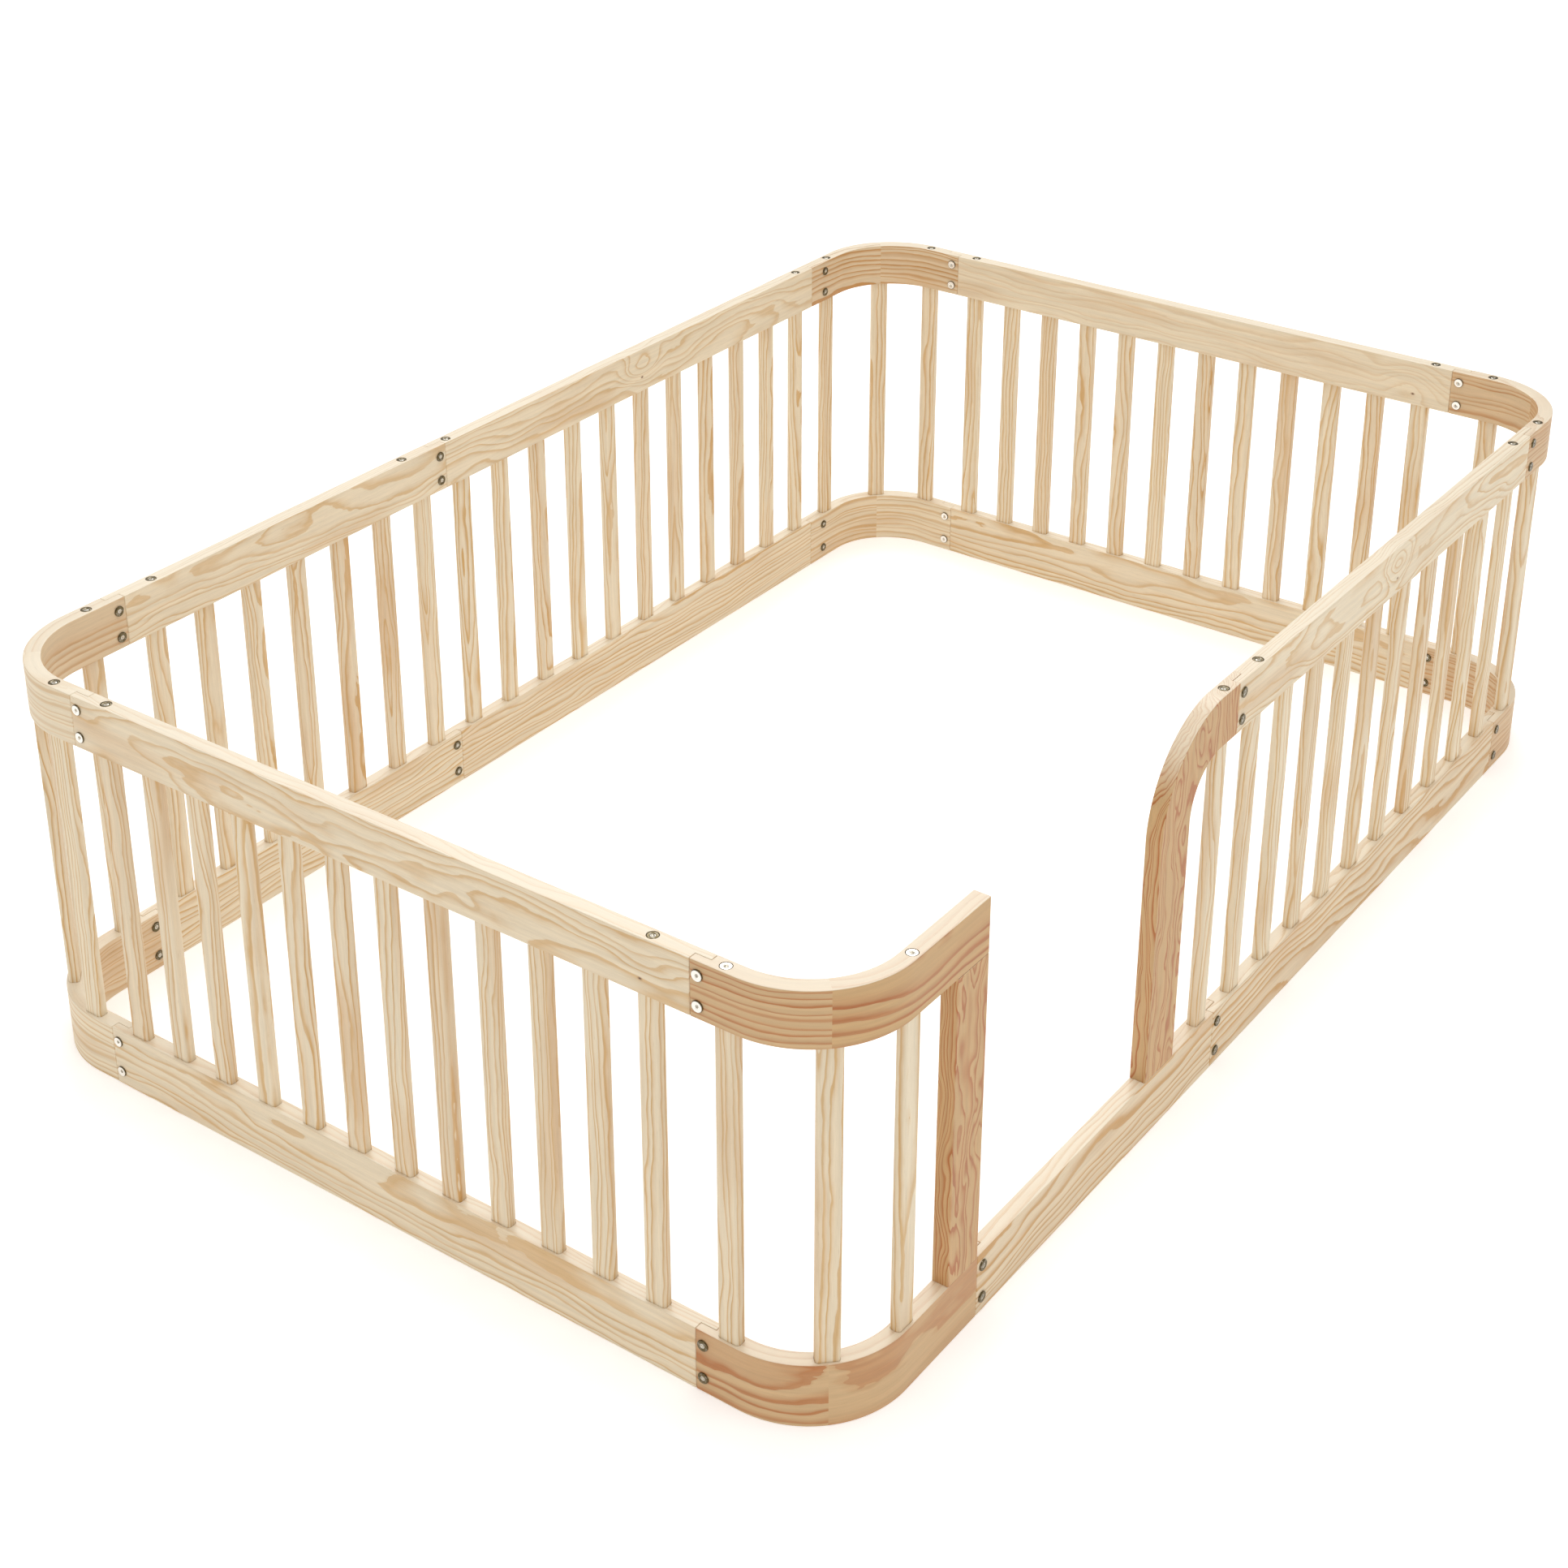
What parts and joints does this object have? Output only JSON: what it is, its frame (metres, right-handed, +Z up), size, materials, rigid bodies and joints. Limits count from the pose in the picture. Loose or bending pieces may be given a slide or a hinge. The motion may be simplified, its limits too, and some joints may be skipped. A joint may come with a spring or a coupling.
{
  "type": "playpen",
  "caption": "Rectangular wooden playpen with rounded corners, upright slats between a top and a bottom rail, and an open doorway with a curved post.",
  "frame": {"origin": "on the floor, at the centre of the playpen's outline", "axes": "+X along the long sides, from the doorway end towards the far end; the doorway is in the side at -Y; +Z up"},
  "size_m": [2.0946, 1.3766, 0.6],
  "materials": {
    "pine_rails": "satin",
    "pine_corner_rails": "satin",
    "pine_posts": "satin",
    "pine_slats": "satin",
    "nickel_fasteners": "satin nickel plating"
  },
  "bodies": {
    "root": {"comb_back_left": "pine_rails", "comb_back_right": "pine_rails", "comb_right": "pine_rails", "corner_bottom_back_left": "pine_corner_rails", "corner_bottom_back_right": "pine_corner_rails", "corner_bottom_front_left": "pine_corner_rails", "corner_bottom_front_right": "pine_corner_rails", "corner_top_back_left": "pine_corner_rails", "corner_top_back_right": "pine_corner_rails", "corner_top_front_left": "pine_corner_rails", "corner_top_front_right": "pine_corner_rails", "door_post": "pine_posts", "end_post": "pine_posts", "joint_bolt_back": "nickel_fasteners", "joint_bolt_front": "nickel_fasteners", "joint_bolt_left": "nickel_fasteners", "joint_bolt_right": "nickel_fasteners", "rail_bottom_front": "pine_rails", "rail_bottom_left": "pine_rails", "rail_top_back_left": "pine_rails", "rail_top_back_right": "pine_rails", "rail_top_front": "pine_rails", "rail_top_left": "pine_rails", "rail_top_right": "pine_rails", "slat_back_left_01": "pine_slats", "slat_back_left_02": "pine_slats", "slat_back_left_03": "pine_slats", "slat_back_right_01": "pine_slats", "slat_back_right_02": "pine_slats", "slat_back_right_03": "pine_slats", "slat_front_01": "pine_slats", "slat_front_02": "pine_slats", "slat_front_03": "pine_slats", "slat_front_04": "pine_slats", "slat_front_05": "pine_slats", "slat_front_06": "pine_slats", "slat_front_07": "pine_slats", "slat_front_08": "pine_slats", "slat_front_09": "pine_slats", "slat_front_10": "pine_slats", "slat_front_11": "pine_slats", "slat_front_left_01": "pine_slats", "slat_front_left_02": "pine_slats", "slat_front_left_03": "pine_slats", "slat_front_right_01": "pine_slats", "slat_front_right_02": "pine_slats", "slat_front_right_03": "pine_slats", "slat_left_01": "pine_slats", "slat_left_02": "pine_slats", "slat_left_03": "pine_slats", "slat_left_04": "pine_slats", "slat_left_05": "pine_slats", "slat_left_06": "pine_slats", "slat_left_07": "pine_slats", "slat_left_08": "pine_slats", "slat_left_09": "pine_slats", "slat_left_10": "pine_slats", "slat_left_11": "pine_slats", "slat_left_12": "pine_slats", "threshold": "pine_rails"}
  },
  "joints": []
}
